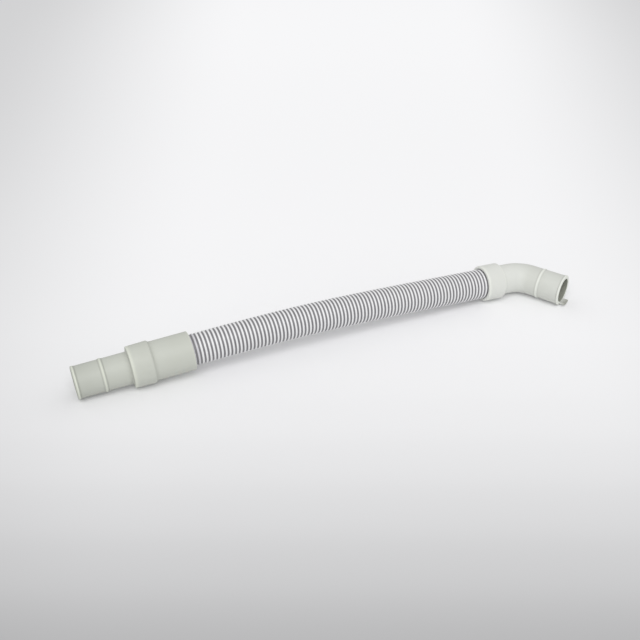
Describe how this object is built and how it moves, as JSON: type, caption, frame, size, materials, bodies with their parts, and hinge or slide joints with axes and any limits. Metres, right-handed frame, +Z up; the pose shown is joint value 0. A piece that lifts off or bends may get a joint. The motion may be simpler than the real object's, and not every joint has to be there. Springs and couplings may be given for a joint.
{
  "type": "drain hose",
  "caption": "Corrugated drain hose with a straight stepped rubber cuff at its inlet and a rubber elbow with a tongue at its outlet.",
  "frame": {"origin": "on the floor, under the middle of the part's bounding box", "axes": "+X runs along the hose from the straight cuff to the elbow, +Z is up"},
  "size_m": [0.4352, 0.0558, 0.0365],
  "materials": {
    "straight_cuff": "matt grey-green moulded rubber",
    "corrugated_hose": "satin white crests with dark grey grooves",
    "elbow_cuff": "matt pale grey-green moulded rubber"
  },
  "bodies": {
    "root": {"straight_cuff": "straight_cuff", "corrugated_hose": "corrugated_hose", "elbow_cuff": "elbow_cuff"}
  },
  "joints": []
}
